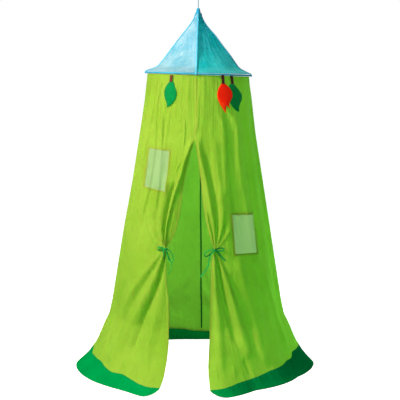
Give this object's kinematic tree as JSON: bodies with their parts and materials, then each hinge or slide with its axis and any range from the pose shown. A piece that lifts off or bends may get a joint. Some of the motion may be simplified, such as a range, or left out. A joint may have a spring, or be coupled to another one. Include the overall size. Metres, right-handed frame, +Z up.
{
  "type": "hanging play tent",
  "caption": "Hanging play tent: voile roof over a hoop, flaring cotton walls to the floor, tied-back door, windows and felt leaves.",
  "frame": {"origin": "on the ceiling plane, on the axis of the hook's shank, above the roof's tip", "axes": "+Z up, +X to the right of someone facing the door, the door faces -Y"},
  "size_m": [1.34, 1.3355, 2.16],
  "materials": {
    "roof_voile": "matte",
    "roof_binding": "matte",
    "brim_binding": "matte",
    "hoop_rod": "satin",
    "ferrule": "satin",
    "wall_cotton": "matte",
    "hem_cotton": "matte",
    "window_voile": "matte",
    "window_trim": "matte",
    "tie_ribbon": "satin",
    "green_strap": "satin",
    "red_strap": "satin",
    "green_leaf": "matte",
    "red_leaf": "matte",
    "dark_leaf": "matte",
    "cord": "matte",
    "hook_metal": "gloss"
  },
  "bodies": {
    "ceiling_mount": {"ceiling_hook": "hook_metal", "hanging_cord": "cord", "cord_knot": "cord"},
    "tent": {"tip_cap": "roof_binding", "roof_gore_front_left": "roof_voile", "roof_gore_front_right": "roof_voile", "roof_gore_back_left": "roof_voile", "roof_gore_back_right": "roof_voile", "roof_piping_front": "roof_binding", "roof_piping_right": "roof_binding", "roof_piping_back": "roof_binding", "roof_piping_left": "roof_binding", "brim_channel": "brim_binding", "hoop_rod": "hoop_rod", "hoop_ferrule": "ferrule", "wall_front_left": "wall_cotton", "wall_front_right": "wall_cotton", "wall_back_left": "wall_cotton", "wall_back_right": "wall_cotton", "hem_front_left": "hem_cotton", "hem_front_right": "hem_cotton", "hem_back_left": "hem_cotton", "hem_back_right": "hem_cotton", "front_seam": "wall_cotton", "back_seam": "wall_cotton", "left_seam": "wall_cotton", "right_seam": "wall_cotton", "left_window_pane": "window_voile", "right_window_pane": "window_voile", "left_window_trim": "window_trim", "right_window_trim": "window_trim"},
    "left_flap": {"left_flap_panel": "wall_cotton", "left_flap_hem": "hem_cotton", "left_tie_band": "tie_ribbon", "left_tie_knot": "tie_ribbon", "left_tie_loop_a": "tie_ribbon", "left_tie_loop_b": "tie_ribbon", "left_tie_tail_a": "tie_ribbon", "left_tie_tail_b": "tie_ribbon"},
    "right_flap": {"right_flap_panel": "wall_cotton", "right_flap_hem": "hem_cotton", "right_tie_band": "tie_ribbon", "right_tie_knot": "tie_ribbon", "right_tie_loop_a": "tie_ribbon", "right_tie_loop_b": "tie_ribbon", "right_tie_tail_a": "tie_ribbon", "right_tie_tail_b": "tie_ribbon"},
    "green_leaf_body": {"green_leaf": "green_leaf", "green_leaf_strap": "green_strap"},
    "red_leaf_body": {"red_leaf_front": "red_leaf", "red_leaf_back": "red_leaf", "red_leaf_strap": "red_strap"},
    "dark_leaf_body": {"dark_leaf": "dark_leaf", "dark_leaf_strap": "red_strap"}
  },
  "joints": [
    {"name": "tent_turn", "type": "hinge", "parent": "ceiling_mount", "child": "tent", "pos_m": [0, 0, -0.136], "axis": [0, 0, 1], "range_deg": [-180, 180], "stiffness_Nm_per_rad": 0.02},
    {"name": "left_flap_swing", "type": "hinge", "parent": "tent", "child": "left_flap", "pos_m": [-0.01, -0.34612, -0.837], "axis": [-0.373, -0.1036, -0.922], "range_deg": [0, 35]},
    {"name": "right_flap_swing", "type": "hinge", "parent": "tent", "child": "right_flap", "pos_m": [0.01, -0.34612, -0.837], "axis": [-0.281, 0.183, 0.9421], "range_deg": [0, 35]},
    {"name": "green_leaf_swing", "type": "hinge", "parent": "tent", "child": "green_leaf_body", "pos_m": [-0.15009, -0.2498, -0.48019], "axis": [-0.8572, 0.515, 0], "range_deg": [0, 60]},
    {"name": "red_leaf_swing", "type": "hinge", "parent": "tent", "child": "red_leaf_body", "pos_m": [0.13498, -0.26606, -0.4791], "axis": [-0.8918, -0.4524, 0], "range_deg": [0, 60]},
    {"name": "dark_leaf_swing", "type": "hinge", "parent": "tent", "child": "dark_leaf_body", "pos_m": [0.18062, -0.2287, -0.48019], "axis": [-0.7848, -0.6198, 0], "range_deg": [0, 60]}
  ],
  "couplings": [
    {"joint": "dark_leaf_swing", "follows": "red_leaf_swing", "ratio": 1}
  ]
}
